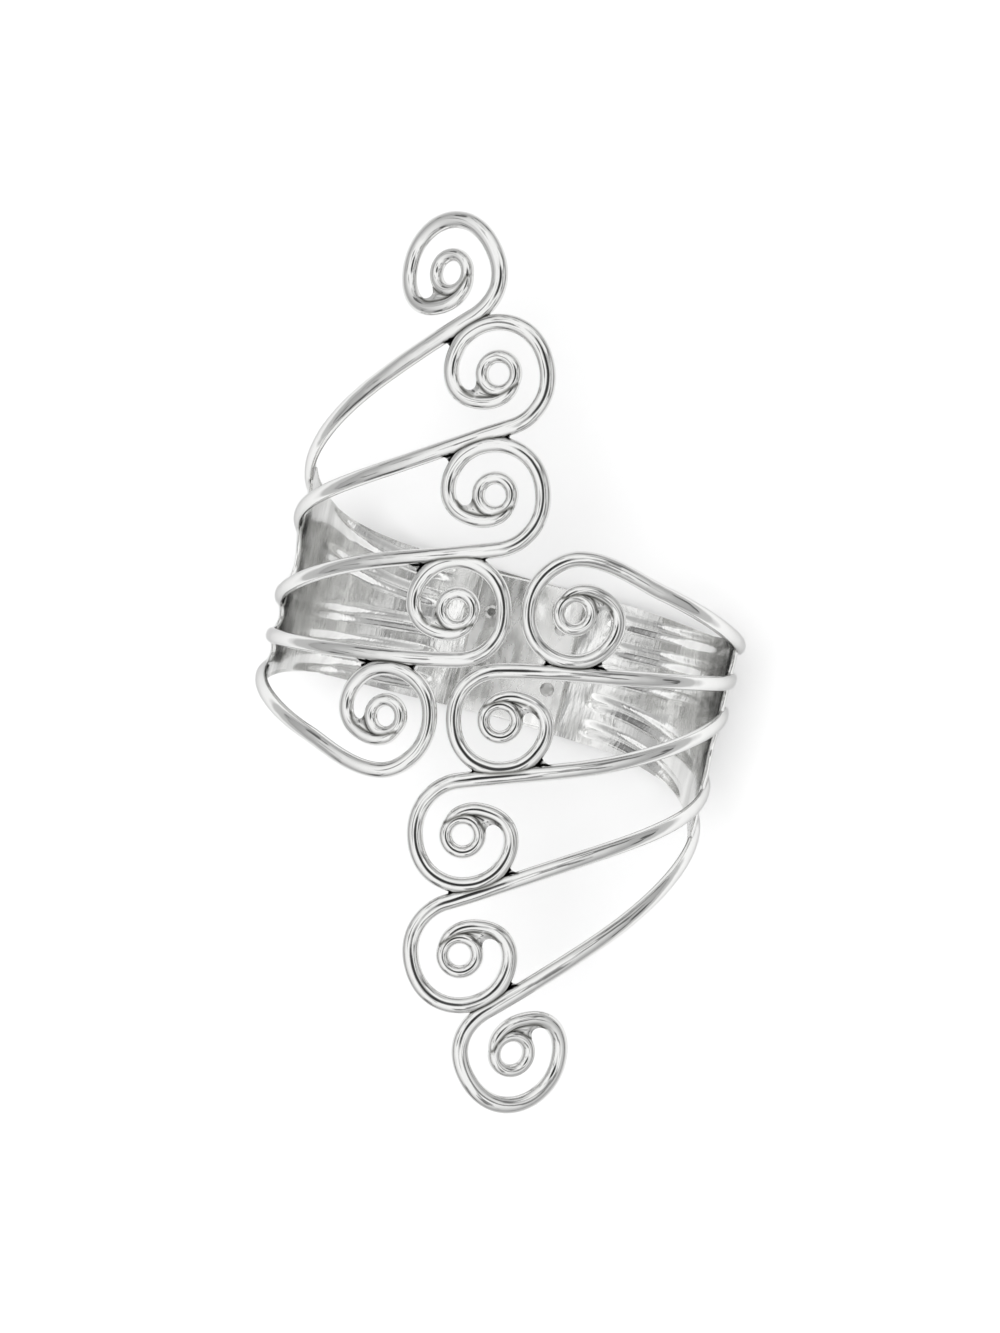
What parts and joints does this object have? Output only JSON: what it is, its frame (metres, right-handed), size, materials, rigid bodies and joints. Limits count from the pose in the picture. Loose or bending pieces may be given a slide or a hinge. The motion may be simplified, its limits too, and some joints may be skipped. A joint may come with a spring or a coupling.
{
  "type": "upper arm cuff",
  "caption": "Polished open upper arm cuff of two ribbed half bands joined at the back, with fused scroll-ended fingers meeting along a slanted opening in front.",
  "frame": {"origin": "centre of the cuff's bounding box in X and Y, on the floor under its back band", "axes": "the cuff lies on its back band: +Z up from the back through the middle of the scroll front, +Y along the arm, +X across, to the right as the front is seen with +Y up"},
  "size_m": [0.072, 0.1268, 0.0591],
  "materials": {
    "polished_silver": "polished silver plate with fine scratches",
    "plate_silver": "satin silver plate",
    "rivet_silver": "polished low domed heads"
  },
  "bodies": {
    "root": {"left_half": "polished_silver", "right_half": "polished_silver", "joining_plate": "plate_silver", "left_upper_rivet": "rivet_silver", "left_lower_rivet": "rivet_silver", "right_upper_rivet": "rivet_silver", "right_lower_rivet": "rivet_silver"}
  },
  "joints": []
}
